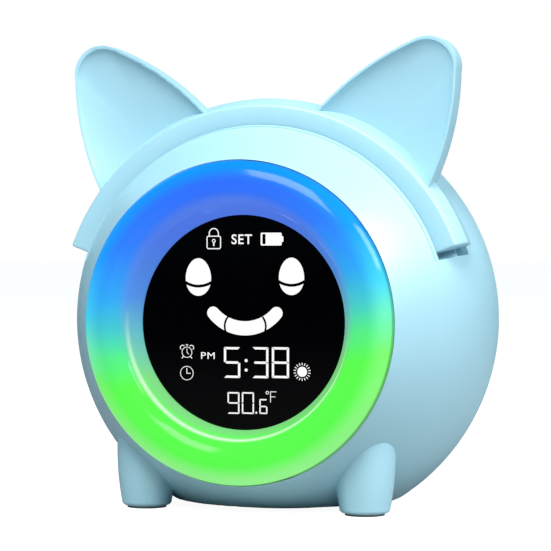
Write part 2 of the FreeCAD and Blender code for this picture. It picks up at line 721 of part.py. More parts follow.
def keys():
    """Five round keys in the rear panel, each over its own switch."""
    cans = []
    for k, label in enumerate(KEYS):
        x, z = key_place(k)
        cap = rod("Y", x, f"{PANEL_BACK} - 1.2", z, "key_radius", "panel_plate + key_proud + 1.2")
        doc.recompute()
        rounded = fresh("Part::Fillet", "key_cap")
        rounded.Base = cap
        top = number("panel_face + key_proud")
        rim = [i + 1 for i, e in enumerate(cap.Shape.Edges) if abs(e.BoundBox.YMin - top) < 1e-6]
        rounded.Edges = [(i, 0.7, 0.7) for i in rim]
        flange = rod("Y", x, f"{PANEL_BACK} - rest_gap - 1.2", z, "key_flange", 1.2)
        stem = rod("Y", x, "key_board_face + switch_high + 0.9", z, "key_stem",
                   f"{PANEL_BACK} - key_board_face - switch_high - 1.5")
        node(label, join(rounded, flange, stem))
        node(label.replace("_key", "_plunger"),
             rod("Y", x, "key_board_face + switch_high - 0.9", z, "plunger_radius", "1.8 - rest_gap"))
        half = "switch_side / 2"
        box = block(f"{x} - {half}", f"{x} + {half}", "key_board_face", "key_board_face + switch_high",
                    f"{z} - {half}", f"{z} + {half}")
        cans.append(cut(box, rod("Y", x, "key_board_face + switch_high - 1.9", z, "plunger_radius + 0.15", 4)))
    node("key_switches", group(*cans))
    board = cut(rod("Y", 0, "key_board_face - key_board_thick", 0, 27.5, "key_board_thick"),
                join(rod("Y", 0, "key_board_face - 4", "speaker_z - 2", 16.5, 8),
                     block("-40", "40", "key_board_face - 4", "key_board_face + 4", "-40", "-0.5"),
                     *[rod("Y", x, "key_board_face - 3", z, "small_screw + 0.15", 4)
                       for x, z in board_bosses()]))
    node("key_board", board)
    node("key_board_screws", group(*[screw("Y", x, "key_board_face - key_board_thick", z, 1, 6.5,
                                           "small_screw", "small_head", 1.2) for x, z in board_bosses()]))


def speaker():
    back = PANEL_BACK
    basket = [("speaker_radius", f"{back} - 0.05"), ("speaker_radius - 1.2", f"{back} - 0.05"),
              ("speaker_radius - 1.2", f"{back} - 1.5"), ("7.6", f"{back} - 5.0"), ("7.6", f"{back} - 6.5"),
              ("speaker_radius - 4", f"{back} - 6.5"), ("speaker_radius", f"{back} - 2.5")]
    node("speaker_basket", turned("basket", basket), z="speaker_z")
    cone = [("0", f"{back} - 4.0"), ("4.0", f"{back} - 4.0"), ("speaker_radius - 2.2", f"{back} - 0.75"),
            ("speaker_radius - 1.3", f"{back} - 0.75"), ("speaker_radius - 1.3", f"{back} - 1.15"),
            ("speaker_radius - 2.2", f"{back} - 1.15"), ("4.4", f"{back} - 4.5"), ("0", f"{back} - 4.5")]
    node("speaker_cone", turned("cone", cone), z="speaker_z")
    node("speaker_magnet", rod("Y", 0, f"{back} - 10.5", 0, 8.2, "3.95"), z="speaker_z")
    clamps = []
    for a in SIDES:
        tab = join(rod("Y", f"{a} * 17.5", f"{back} - 5.7", "speaker_z", 2.6, 1.2),
                   block(f"{a} * 14.35 - 2.25", f"{a} * 14.35 + 2.25", f"{back} - 5.7", f"{back} - 4.5",
                         "speaker_z - 2.2", "speaker_z + 2.2"))
        clamps.append(cut(tab, rod("Y", f"{a} * 17.5", f"{back} - 7", "speaker_z", "small_screw + 0.15", 4)))
    node("speaker_clamps", group(*clamps))
    node("speaker_screws", group(*[screw("Y", f"{a} * 17.5", f"{back} - 5.7", "speaker_z", 1, 4.5,
                                         "small_screw", "small_head", 1.1) for a in SIDES]))


def charging_socket():
    w, h = "socket_wide / 2", "socket_tall / 2"
    start, end = "panel_face - socket_long", "panel_face - 0.1"

    def racetrack(inset, y0, y1):
        round_radius = f"{h} - {inset}"
        sides = [rod("Y", f"{a} * ({w} - {h})", y0, "socket_z", round_radius, f"({y1}) - ({y0})")
                 for a in SIDES]
        return join(*sides, block(f"{h} - {w}", f"{w} - {h}", y0, y1, f"socket_z - {h} + {inset}",
                                  f"socket_z + {h} - {inset}"))
    node("charging_socket", cut(racetrack("0", start, end), racetrack("socket_wall", f"{start} + 1", f"{end} + 1")))
    node("socket_tongue", block("-3.3", "3.3", f"{start} + 1.02", f"{end} - 0.7", "socket_z - 0.35",
                                "socket_z + 0.35"))
    top = SOCKET_BOARD_TOP
    board = cut(block("-12", "12", "30", f"{PANEL_BACK} - 0.1", f"{top} - board_thick", top),
                join(*[rod("Z", f"{a} * 10", "42", f"{top} - 3", "0.75", 5) for a in SIDES]))
    node("charging_board", board)
    node("charging_board_screws", group(*[screw("Z", f"{a} * 10", "42", top, -1, 3.4, 0.55, 1.3, 0.8)
                                          for a in SIDES]))


def battery():
    cell = rod("X", "-cell_long / 2", "cell_y", "cell_z", "cell_radius", "cell_long")
    node("battery_cell", cell)
    nub = rod("X", "cell_long / 2 + 0.02", "cell_y", "cell_z", 3, 1.2)
    node("battery_terminals", group(nub, rod("X", "-cell_long / 2 - 0.52", "cell_y", "cell_z", 5, 0.5)))
    bottom = "wall - belly_drop + 0.02"
    body = block("-cell_long / 2 + 6", "cell_long / 2 - 6", "cell_y - 12", "cell_y + 12", bottom, "cell_z")
    trough = rod("X", "-cell_long", "cell_y", "cell_z", "cell_radius + cell_gap", "2 * cell_long")
    window = block("-7", "7", "cell_y - 20", "cell_y + 20", f"{bottom} + 2", "cell_z + 2")
    node("battery_cradle", cut(body, join(trough, window)))
    straps = []
    for a in SIDES:
        ring = cut(rod("X", f"{a} * strap_x - 3", "cell_y", "cell_z", "cell_radius + 1.35", 6),
                   rod("X", f"{a} * strap_x - 4", "cell_y", "cell_z", "cell_radius + cell_gap", 8))
        top = block("-60", "60", "cell_y - 30", "cell_y + 30", "cell_z + 0.02", "cell_z + 30")
        wings = [block(f"{a} * strap_x - 3", f"{a} * strap_x + 3", f"cell_y + {b} * 10.9 - 1.1",
                       f"cell_y + {b} * 10.9 + 1.1", "cell_z + 0.02", "cell_z + 1.4") for b in SIDES]
        straps.append(cut(join(shared(ring, top), *wings),
                          rod("X", f"{a} * strap_x - 4", "cell_y", "cell_z", "cell_radius + cell_gap", 8)))
    node("battery_straps", group(*straps))


def foot(label, side):
    """A barrel-shaped foot, cut to the ball, with a peg through the shell."""
    points = [("0", "foot_pad - floor_drop"), ("foot_toe", "foot_pad - floor_drop"),
              ("foot_toe + 1.0", "foot_pad - floor_drop + 1.3"),
              ("foot_radius - 0.5", "-26"), ("0", "-26")]
    curves = {2: ("foot_radius", "-40")}
    barrel = put(spun("barrel", points, curves), f"{side} * foot_x", "-foot_y", 0)
    peg = rod("Z", f"{side} * foot_x", "-foot_y", "-46", "peg_radius", 9)
    return node(label, join(cut(barrel, ball("ball_radius"), collar()), peg))


def feet():
    foot("left_foot", -1)
    foot("right_foot", 1)
    node("foot_pads", group(*[rod("Z", f"{a} * foot_x", "-foot_y", "-floor_drop", "foot_toe - 0.5", "foot_pad")
                              for a in SIDES]))
    node("base_pad", rod("Z", 0, "-pad_y", "-floor_drop", "pad_radius", "floor_drop - belly_drop"))


def case_screws():
    node("case_screws", group(*[screw("Y", f"{a} * post_x", "seam + 4", f"{b} * post_z", -1, 17,
                                      "screw_radius", "screw_head", 2.2) for a in SIDES for b in SIDES]))


front_shell()
rear_cover()
light_ring()
light_board()
display()
main_board()
headband()
ears()
band_hardware()
keys()
speaker()
charging_socket()
battery()
feet()
case_screws()
doc.recompute()

broken = [o.Name for o in doc.Objects if "Invalid" in o.State or "Error" in o.State]
if broken:
    raise SystemExit(f"failed objects: {broken}")
for piece in nodes:
    if piece.Shape.isNull() or not piece.Shape.isValid():
        raise SystemExit(f"{piece.Label} is not a valid shape")
os.makedirs("parts", exist_ok=True)
for piece in nodes:
    piece.Shape.exportStep(f"parts/{piece.Label}.step")
    print(piece.Label, len(piece.Shape.Solids), round(piece.Shape.Volume, 1))
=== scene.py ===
"""Kids' alarm clock with a night light: a pale blue ball with a glowing ring around a black display,
a press-down headband with two ears, two feet, and a row of keys on the back."""
import bpy
import bmesh
import math
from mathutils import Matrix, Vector


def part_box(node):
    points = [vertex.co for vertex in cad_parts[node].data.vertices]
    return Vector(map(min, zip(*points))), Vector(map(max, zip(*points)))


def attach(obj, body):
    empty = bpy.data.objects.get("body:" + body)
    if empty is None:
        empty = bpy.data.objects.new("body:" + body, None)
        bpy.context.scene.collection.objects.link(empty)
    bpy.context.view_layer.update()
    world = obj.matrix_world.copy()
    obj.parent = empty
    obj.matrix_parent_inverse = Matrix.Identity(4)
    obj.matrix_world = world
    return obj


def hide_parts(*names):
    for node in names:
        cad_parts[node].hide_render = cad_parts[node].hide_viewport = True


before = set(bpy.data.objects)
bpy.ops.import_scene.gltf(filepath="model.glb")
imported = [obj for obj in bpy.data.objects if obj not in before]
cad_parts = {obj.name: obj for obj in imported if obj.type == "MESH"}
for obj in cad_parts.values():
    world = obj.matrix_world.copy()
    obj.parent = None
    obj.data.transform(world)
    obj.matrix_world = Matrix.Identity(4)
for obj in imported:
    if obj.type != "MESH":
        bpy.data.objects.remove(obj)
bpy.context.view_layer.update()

MM = 0.001
ring_low, ring_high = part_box("light_ring")
CENTRE = Vector((0.0, ring_low[1] + 48.5 * MM, (ring_low[2] + ring_high[2]) / 2))
BALL = 60.0
FINE = 192


def at(x, y, z):
    """A place given in millimetres from the centre of the ball."""
    return CENTRE + Vector((x, y, z)) * MM


# Materials

def paint(code):
    """Linear colour of an sRGB hex value."""
    parts = [int(code[k:k + 2], 16) / 255 for k in (1, 3, 5)]
    return tuple([p / 12.92 if p <= 0.04045 else ((p + 0.055) / 1.055) ** 2.4 for p in parts] + [1.0])


def add(tree, kind, settings=(), links=()):
    """Adds one node, with its properties or sockets set by name and its inputs linked."""
    made = tree.nodes.new(kind)
    for name, value in dict(settings).items():
        if isinstance(name, int) or name in made.inputs:
            made.inputs[name].default_value = value
        else:
            setattr(made, name, value)
    for name, source in dict(links).items():
        tree.links.new(source, made.inputs[name])
    return made


def blank(name):
    """A new material with an empty node tree and its output node."""
    made = bpy.data.materials.new(name)
    made.use_nodes = True
    made.node_tree.nodes.clear()
    return made, made.node_tree, add(made.node_tree, "ShaderNodeOutputMaterial")


def moulded(name, colour, rough, grain, depth=0.02, **sockets):
    """A solid material with a fine surface: grain is the size in mm of its texture and depth its height."""
    made, tree, out = blank(name)
    place = add(tree, "ShaderNodeTexCoord").outputs["Object"]
    fine = add(tree, "ShaderNodeTexNoise", {"Scale": 1 / (grain * MM), "Detail": 3.0}, {"Vector": place})
    broad = add(tree, "ShaderNodeTexNoise", {"Scale": 28.0, "Detail": 2.0}, {"Vector": place})
    tone = add(tree, "ShaderNodeMapRange", {"To Min": 0.965, "To Max": 1.035},
               {"Value": broad.outputs["Fac"]})
    shade = add(tree, "ShaderNodeHueSaturation", {"Color": paint(colour)}, {"Value": tone.outputs["Result"]})
    gloss = add(tree, "ShaderNodeMapRange", {"To Min": rough * 0.85, "To Max": rough * 1.15},
                {"Value": fine.outputs["Fac"]})
    relief = add(tree, "ShaderNodeBump", {"Strength": 0.35, "Distance": depth * MM},
                 {"Height": fine.outputs["Fac"]})
    shader = add(tree, "ShaderNodeBsdfPrincipled", sockets,
                 {"Base Color": shade.outputs["Color"], "Roughness": gloss.outputs["Result"],
                  "Normal": relief.outputs["Normal"]})
    tree.links.new(shader.outputs["BSDF"], out.inputs["Surface"])
    return made


def lit_ring():
    """Milky polycarbonate over LEDs: blue above, teal at mid-height and green below, paler on the funnel,
    where the pale is partly the glow and partly a painted reflection.
    """
    made, tree, out = blank("lit milky polycarbonate")
    place = add(tree, "ShaderNodeTexCoord").outputs["Object"]
    local = add(tree, "ShaderNodeVectorMath", {"operation": "SUBTRACT", 1: CENTRE}, {0: place})
    spot = add(tree, "ShaderNodeSeparateXYZ", (), {"Vector": local.outputs["Vector"]})
    # the left side turns blue a little lower than the right
    lean = add(tree, "ShaderNodeMath", {"operation": "MULTIPLY_ADD", 1: -0.12},
               {0: spot.outputs["X"], 2: spot.outputs["Z"]})
    height = add(tree, "ShaderNodeMapRange", {"From Min": -43.5 * MM, "From Max": 43.5 * MM},
                 {"Value": lean.outputs["Value"]})
    flat = add(tree, "ShaderNodeCombineXYZ", (), {"X": spot.outputs["X"], "Z": spot.outputs["Z"]})
    reach = add(tree, "ShaderNodeVectorMath", {"operation": "LENGTH"}, {0: flat.outputs["Vector"]})

    def ramp(source, stops):
        node = add(tree, "ShaderNodeValToRGB", (), {"Fac": source})
        band = node.color_ramp
        band.interpolation = "LINEAR"
        for k, (position, code) in enumerate(stops):
            stop = band.elements[k] if k < 2 else band.elements.new(position)
            stop.position = position
            stop.color = paint(code)
        return node.outputs["Color"]

    # the first two stops of each ramp are its lowest and highest, and the others lie between them
    middle = ramp(height.outputs["Result"], [(0.0, "#58F84A"), (1.0, "#2F66FA"), (0.34, "#5BF84E"),
                                             (0.44, "#55E98C"), (0.52, "#45C8CC"), (0.62, "#2FA6F2"),
                                             (0.78, "#2F7DFB")])
    # the funnel colours are paler than the middle ones: partly the glow, partly a painted reflection
    funnel = ramp(height.outputs["Result"], [(0.0, "#7CD67C"), (1.0, "#5C84F4"), (0.36, "#82DC86"),
                                             (0.50, "#6FC6CC"), (0.62, "#5A98F0"), (0.8, "#5580F5")])
    edge = ramp(height.outputs["Result"], [(0.0, "#9BFF92"), (1.0, "#0A8CFF"), (0.36, "#7CFC70"),
                                           (0.48, "#6FF0C0"), (0.58, "#45D0F5"), (0.75, "#169CFF")])
    # the funnel's pale zone, partly the glow and partly a painted reflection, is made wider above the window
    # than below it
    slant = add(tree, "ShaderNodeMath", {"operation": "MULTIPLY_ADD", 1: -0.055}, {0: spot.outputs["Z"],
                                                                                  2: reach.outputs["Value"]})
    funnel_glow_and_reflection_mask = add(tree, "ShaderNodeMapRange", {"From Min": 30.6 * MM, "From Max": 33.6 * MM,
                                              "interpolation_type": "SMOOTHSTEP"},
                 {"Value": slant.outputs["Value"]})
    outward = add(tree, "ShaderNodeMapRange", {"From Min": 37.5 * MM, "From Max": 42.5 * MM,
                                               "interpolation_type": "SMOOTHSTEP"},
                  {"Value": reach.outputs["Value"]})
    inner = add(tree, "ShaderNodeMix", {"data_type": "RGBA"},
                {"Factor": funnel_glow_and_reflection_mask.outputs["Result"], 6: funnel, 7: middle})
    glow = add(tree, "ShaderNodeMix", {"data_type": "RGBA"},
               {"Factor": outward.outputs["Result"], 6: inner.outputs[2], 7: edge})
    # a fine bright line along the funnel's lip, on its lower half, is a painted highlight mixed into the glow
    lip_highlight_across = add(tree, "ShaderNodeMapRange", {"From Min": 30.5 * MM, "From Max": 33.5 * MM},
                 {"Value": reach.outputs["Value"]})
    line = ramp(lip_highlight_across.outputs["Result"], [(0.0, "#000000"), (1.0, "#000000"), (0.12, "#000000"),
                                           (0.28, "#FFFFFF"), (0.46, "#000000")])
    low = add(tree, "ShaderNodeMapRange", {"From Min": 4 * MM, "From Max": -16 * MM, "To Max": 1.0},
              {"Value": spot.outputs["Z"]})
    share = add(tree, "ShaderNodeMath", {"operation": "MULTIPLY"}, {0: line, 1: low.outputs["Result"]})
    # the pale green-white here is the painted highlight's colour
    glow_and_painted_highlight = add(tree, "ShaderNodeMix", {"data_type": "RGBA", 7: paint("#D8FFD4")},
                 {"Factor": share.outputs["Value"], 6: glow.outputs[2]})
    # the LEDs behind show as faint brighter patches, about 20 mm apart
    cloud = add(tree, "ShaderNodeTexNoise", {"Scale": 50.0, "Detail": 1.0}, {"Vector": place})
    level = add(tree, "ShaderNodeMapRange", {"To Min": 0.68, "To Max": 0.75}, {"Value": cloud.outputs["Fac"]})
    skin = add(tree, "ShaderNodeTexNoise", {"Scale": 2500.0, "Detail": 2.0}, {"Vector": place})
    relief = add(tree, "ShaderNodeBump", {"Strength": 0.1, "Distance": 0.004 * MM},
                 {"Height": skin.outputs["Fac"]})
    # the outer wall stands in the shell's opening and is given less glow there: painted shade in the joint
    # with the shell
    wall = add(tree, "ShaderNodeMapRange", {"From Min": 43.2 * MM, "From Max": 43.42 * MM, "To Min": 1.0,
                                            "To Max": 0.35}, {"Value": reach.outputs["Value"]})
    glow_level_with_painted_shade = add(tree, "ShaderNodeMath", {"operation": "MULTIPLY"}, {0: level.outputs["Result"],
                                                                     1: wall.outputs["Result"]})
    body = add(tree, "ShaderNodeHueSaturation", {"Value": 0.3}, {"Color": glow_and_painted_highlight.outputs[2]})
    shader = add(tree, "ShaderNodeBsdfPrincipled",
                 {"Roughness": 0.12, "IOR": 1.46, "Specular IOR Level": 0.16},
                 {"Base Color": body.outputs["Color"], "Emission Color": glow_and_painted_highlight.outputs[2],
                  "Emission Strength": glow_level_with_painted_shade.outputs["Value"], "Normal": relief.outputs["Normal"]})
    tree.links.new(shader.outputs["BSDF"], out.inputs["Surface"])
    return made


def lit_marks():
    """Display segments lit from behind: even white, with no shine of their own."""
    made, tree, out = blank("lit display segments")
    place = add(tree, "ShaderNodeTexCoord").outputs["Object"]
    grain = add(tree, "ShaderNodeTexNoise", {"Scale": 900.0, "Detail": 1.0}, {"Vector": place})
    level = add(tree, "ShaderNodeMapRange", {"To Min": 0.93, "To Max": 1.0}, {"Value": grain.outputs["Fac"]})
    shader = add(tree, "ShaderNodeBsdfPrincipled",
                 {"Base Color": paint("#202222"), "Roughness": 0.5, "Emission Color": paint("#FFFFFF")},
                 {"Emission Strength": level.outputs["Result"]})
    tree.links.new(shader.outputs["BSDF"], out.inputs["Surface"])
    return made


# ABS moulded in a polished tool: an even pale blue with a soft sheen and broad highlights
shell_abs = moulded("pale blue ABS, polished tool", "#A3D3E3", 0.42, 0.6, 0.006, IOR=1.52,
                    **{"Specular IOR Level": 1.0})
# the keys are the same ABS from a textured tool, a little deeper in colour
key_abs = moulded("pale blue ABS, fine textured tool", "#93D3E7", 0.42, 0.35, 0.02, IOR=1.52)
# cast acrylic tinted black: deep, even black with almost no reflection
window_acrylic = moulded("black tinted acrylic", "#010102", 0.05, 2.0, 0.0005,
                         **{"Specular IOR Level": 0.06})
ring_plastic = lit_ring()
segments = lit_marks()
# unpainted white ABS inside the case: slightly warm and dull
white_abs = moulded("white ABS, unpolished", "#E6E6E0", 0.5, 0.5, 0.03, IOR=1.52)
# glass fibre board under solder mask: green with the weave just showing
solder_mask = moulded("green solder mask on glass fibre", "#1D6B3C", 0.3, 0.45, 0.03, IOR=1.55)
# clear silicone over a phosphor: pale yellow-white and soft
lens_silicone = moulded("LED silicone over phosphor", "#F2EFC9", 0.25, 0.4, 0.01, IOR=1.41)
# filled epoxy: near black, fine matt
chip_epoxy = moulded("chip moulding epoxy", "#1B1B1D", 0.6, 0.2, 0.02, IOR=1.55)
# nylon 66 connector bodies: cream with a waxy sheen
cream_nylon = moulded("natural nylon 66", "#E9DFC2", 0.45, 0.4, 0.02, IOR=1.53)
# deep-drawn tin-plated steel: bright with faint drawing marks
tinned_can = moulded("tin-plated steel can", "#C9CBCD", 0.28, 0.5, 0.02, Metallic=1.0)
# acetal plungers: black and waxy
black_acetal = moulded("black acetal", "#161618", 0.4, 0.4, 0.01, IOR=1.48)
# glass-filled frame and basket of the speaker: dark grey, dull
speaker_frame = moulded("glass-filled black polypropylene", "#202124", 0.55, 0.4, 0.03, IOR=1.49)
# pressed paper pulp cone: charcoal and fibrous
cone_paper = moulded("speaker cone paper", "#34332F", 0.9, 0.3, 0.06)
# nickel-plated magnet steel
plated_steel = moulded("nickel-plated steel", "#BDBAB2", 0.3, 0.4, 0.01, Metallic=1.0)
# heat-shrunk PVC around the cell: mid blue, slightly glossy
shrink_pvc = moulded("heat-shrunk PVC sleeve", "#2E6FB3", 0.3, 3.0, 0.05, IOR=1.54)
# thermoplastic rubber of the feet: soft grey, matt
grey_tpe = moulded("grey thermoplastic rubber", "#8C9499", 0.8, 0.25, 0.04, IOR=1.5)
# zinc-plated steel screws: cool grey metal with fine turning
zinc_steel = moulded("zinc-plated steel", "#B9BEC4", 0.33, 0.2, 0.015, Metallic=1.0)
# display glass with its polariser: black and smooth
panel_glass = moulded("display glass with polariser", "#020203", 0.08, 2.0, 0.0005,
                      **{"Specular IOR Level": 0.1})

FINISH = {
    "shell_blue": shell_abs, "diffuser": ring_plastic, "window_black": window_acrylic,
    "panel_glass": panel_glass, "white_plastic": white_abs, "board_green": solder_mask,
    "led_white": lens_silicone, "chip_black": chip_epoxy, "connector_cream": cream_nylon,
    "can_metal": tinned_can, "key_blue": key_abs, "plunger_black": black_acetal,
    "speaker_black": speaker_frame, "speaker_paper": cone_paper, "magnet_steel": plated_steel,
    "cell_wrap": shrink_pvc, "rubber_grey": grey_tpe, "screw_steel": zinc_steel,
}
for name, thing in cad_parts.items():
    for slot in thing.material_slots:
        for key, finish in FINISH.items():
            if slot.material and key in slot.material.name:
                slot.material = finish
                break
        else:
            print("no finish for", name, slot.material.name if slot.material else None)


# Modelling, by hand tools in edit mode

def start(place, name="draft"):
    """A new piece with one vertex, in edit mode."""
    bpy.ops.object.select_all(action="DESELECT")
    bpy.ops.mesh.primitive_plane_add(size=MM, location=place)
    bpy.ops.object.transform_apply(location=True, rotation=True, scale=True)
    piece = bpy.context.object
    piece.name = name
    bpy.ops.object.mode_set(mode="EDIT")
    bpy.ops.mesh.select_mode(type="VERT")
    bpy.ops.mesh.select_all(action="SELECT")
    bpy.ops.mesh.merge(type="CENTER")
    return piece


def chain(places, name="draft"):
    """A piece that is a line of vertices drawn through the given places, in edit mode."""
    piece = start(places[0], name)
    for a, b in zip(places, places[1:]):
        bpy.ops.mesh.extrude_region_move(TRANSFORM_OT_translate={"value": b - a})
    bpy.ops.mesh.select_all(action="SELECT")
    return piece


def close():
    """Merges doubles, turns the faces outwards and leaves edit mode."""
    bpy.ops.mesh.select_all(action="SELECT")
    bpy.ops.mesh.remove_doubles(threshold=0.005 * MM)
    bpy.ops.mesh.normals_make_consistent(inside=False)
    bpy.ops.object.mode_set(mode="OBJECT")


def pick(piece, kind, test):
    """Selects the faces, edges or vertices of a piece in edit mode for which test is true."""
    bpy.ops.mesh.select_mode(type=kind)
    bpy.ops.mesh.select_all(action="DESELECT")
    mesh = bmesh.from_edit_mesh(piece.data)
    for item in {"FACE": mesh.faces, "EDGE": mesh.edges, "VERT": mesh.verts}[kind]:
        if test(item):
            item.select_set(True)
    bmesh.update_edit_mesh(piece.data)


def modify(piece, kind, **settings):
    """Adds a modifier and applies it."""
    bpy.ops.object.select_all(action="DESELECT")
    piece.select_set(True)
    bpy.context.view_layer.objects.active = piece
    added = piece.modifiers.new(kind.lower(), kind)
    for name, value in settings.items():
        setattr(added, name, value)
    bpy.ops.object.modifier_apply(modifier=added.name)


def smooth(piece, degrees=32):
    """Shades a piece smooth, with its sharper edges kept."""
    bpy.ops.object.select_all(action="DESELECT")
    piece.select_set(True)
    bpy.context.view_layer.objects.active = piece
    bpy.ops.object.shade_smooth_by_angle(angle=math.radians(degrees))


def join(pieces, name):
    """Joins pieces into the first and names it."""
    bpy.ops.object.select_all(action="DESELECT")
    for piece in pieces:
        piece.select_set(True)
    bpy.context.view_layer.objects.active = pieces[0]
    if len(pieces) > 1:
        bpy.ops.object.join()
    pieces[0].name = name
    return pieces[0]


def settle(piece, name, finish, body, slot, *nodes):
    """Gives a piece its name, material and body, and hides the nodes that it stands for; its record slot is
    not used.
    """
    piece.name = name
    piece.data.name = name
    piece.data.materials.clear()
    piece.data.materials.append(finish)
    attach(piece, body)
    if nodes:
        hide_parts(*nodes)
    return piece


def arc3(a, b, c, count):
    """Points of the circle arc from a through b to c, in a plane, both ends included."""
    ax, ay = a
    bx, by = b
    cx, cy = c
    d = 2 * (ax * (by - cy) + bx * (cy - ay) + cx * (ay - by))
    aa, bb, cc = ax * ax + ay * ay, bx * bx + by * by, cx * cx + cy * cy
    ux = (aa * (by - cy) + bb * (cy - ay) + cc * (ay - by)) / d
    uy = (aa * (cx - bx) + bb * (ax - cx) + cc * (bx - ax)) / d
    radius = math.hypot(ax - ux, ay - uy)
    begin, mid, end = (math.atan2(q[1] - uy, q[0] - ux) for q in (a, b, c))
    turn = (end - begin) % (2 * math.pi)
    if (mid - begin) % (2 * math.pi) > turn:
        turn -= 2 * math.pi
    angles = [begin + turn * k / count for k in range(count + 1)]
    return [(ux + radius * math.cos(a), uy + radius * math.sin(a)) for a in angles]


def about_y(profile, begin=0.0, end=360.0, name="turned", steps=FINE, x=0.0, z=0.0):
    """Spins a profile of (radius, y) about the ball's long axis, from one angle to another, 0 being up."""
    a = math.radians(begin)
    places = [at(x + r * math.sin(a), y, z + r * math.cos(a)) for r, y in profile]
    piece = chain(places, name)
    turn = math.radians(end - begin)
    bpy.ops.mesh.spin(steps=max(3, round(steps * abs(end - begin) / 360)), angle=-turn,
                      center=at(x, 0, z), axis=(0, 1, 0))
    close()
    return piece


def about_z(profile, x, y, name="turned", steps=96):
    """Spins a profile of (radius, z) about an upright line at x, y."""
    piece = chain([at(x + r, y, z) for r, z in profile], name)
    bpy.ops.mesh.spin(steps=steps, angle=2 * math.pi, center=at(x, y, 0), axis=(0, 0, 1))
    close()
    return piece


def ball_arc(y0, y1, count, radius=BALL):
    """Points (radius, y) along the ball from y0 to y1, at even angles."""
    a0 = math.asin(y0 / radius)
    a1 = math.asin(y1 / radius)
    angles = [a0 + (a1 - a0) * k / count for k in range(count + 1)]
    return [(radius * math.cos(a), radius * math.sin(a)) for a in angles]


def flatten_belly(piece):
    """Presses the ball's underside flat where it stands on its pad."""
    bpy.ops.object.select_all(action="DESELECT")
    piece.select_set(True)
    bpy.context.view_layer.objects.active = piece
    bpy.ops.object.mode_set(mode="EDIT")
    level = at(0, 0, -50.5).z
    pick(piece, "VERT", lambda v: v.co.z < level)
    bpy.ops.transform.resize(value=(1, 1, 0), center_override=(0, 0, level))
    bpy.ops.object.mode_set(mode="OBJECT")


# Front shell: the ball from the ring's opening to the seam, with the headband's channel over the top
GROOVE_FRONT, GROOVE_BACK, GROOVE_ANGLE = -26.3, -11.7, 71.8
mouth = [(43.7, -35.0), (43.7, -43.8)]
collar = arc3((43.7, -43.8), (48.1, -36.9), (52.0, -29.93), 16)
before = mouth + collar[1:] + ball_arc(-29.93, GROOVE_FRONT, 6)[1:]
over = ball_arc(GROOVE_FRONT, GROOVE_BACK, 16)
after = ball_arc(GROOVE_BACK, 17.7, 36) + [(57.0, 17.9)]
grooved = before + [(50.87, GROOVE_FRONT), (55.59, GROOVE_BACK)] + after
plain = before + over[1:-1] + after
top = about_y(grooved, -GROOVE_ANGLE, GROOVE_ANGLE, "top", FINE * 2)
rest = about_y(plain, GROOVE_ANGLE, 360 - GROOVE_ANGLE, "rest", FINE * 2)
shell = join([top, rest], "front_shell_skin")
bpy.ops.object.mode_set(mode="EDIT")
bpy.ops.mesh.select_all(action="SELECT")
bpy.ops.mesh.remove_doubles(threshold=0.01 * MM)
for side in (-1, 1):
    def in_channel_end(edge):
        spots = [v.co - CENTRE for v in edge.verts]
        return edge.is_boundary and all(p.x * side > 0 and -26.4 < p.y / MM < -11.6 for p in spots)
    pick(shell, "EDGE", in_channel_end)
    bpy.ops.mesh.edge_face_add()
close()
flatten_belly(shell)
modify(shell, "BEVEL", width=0.28 * MM, segments=3, limit_method="ANGLE", angle_limit=math.radians(35))
# the wall is thin only at the sharp lip round the light ring
LIP_RADIUS, LIP_BACK = 46.8 * MM, -30.0 * MM
wall = shell.vertex_groups.new(name="wall")
places = [(v.index, v.co - CENTRE) for v in shell.data.vertices]
full = [k for k, p in places if math.hypot(p.x, p.z) > LIP_RADIUS or p.y > LIP_BACK]
wall.add(full, 1.0, "REPLACE")
modify(shell, "SOLIDIFY", thickness=1.6 * MM, offset=-1.0, vertex_group="wall", thickness_vertex_group=0.04)
smooth(shell)
settle(shell, "front_shell_skin", shell_abs, "case", "shell_blue", "front_shell")

# Rear cover: the rest of the ball, with a recessed panel for the keys, the speaker and the socket
back = [(57.0, 18.1)] + ball_arc(18.3, 53.2, 44)
back += [(27.25, 53.46), (27.02, 53.3), (27.0, 53.0), (27.0, 50.3), (26.7, 50.0), (0.0, 50.0)]
cover = about_y(back, name="rear_cover_skin")
flatten_belly(cover)
modify(cover, "SOLIDIFY", thickness=1.9 * MM, offset=-1.0)
KEYS = [("mode", 150), ("down", 120), ("light", 90), ("up", 60), ("alarm", 30)]
KEY_CIRCLE = 18.5
key_spots = {}
for name, degrees in KEYS:
    a = math.radians(degrees)
    key_spots[name] = (KEY_CIRCLE * math.cos(a), KEY_CIRCLE * math.sin(a))
GRILLE_Z = -4.0
grille = [(0.0, GRILLE_Z)]
for radius, count in ((2.9, 6), (5.8, 12), (8.7, 18)):
    for k in range(count):
        turn = 2 * math.pi * k / count
        grille.append((radius * math.sin(turn), GRILLE_Z + radius * math.cos(turn)))
WELL_X, WELL_Z, WELL_FLOOR = 33.0, 26.5, 22.0
HEAD_ROOM, SHANK_ROOM, WELL_OUTSIDE = 3.0, 1.65, 4.3
well_spots = [(sx * WELL_X, sz * WELL_Z) for sx in (-1, 1) for sz in (-1, 1)]


def drill(x, z, radius, y0, y1, steps):
    """A round cutter along the ball's long axis."""
    return about_y([(0, y0), (radius, y0), (radius, y1), (0, y1)], x=x, z=z, steps=steps)


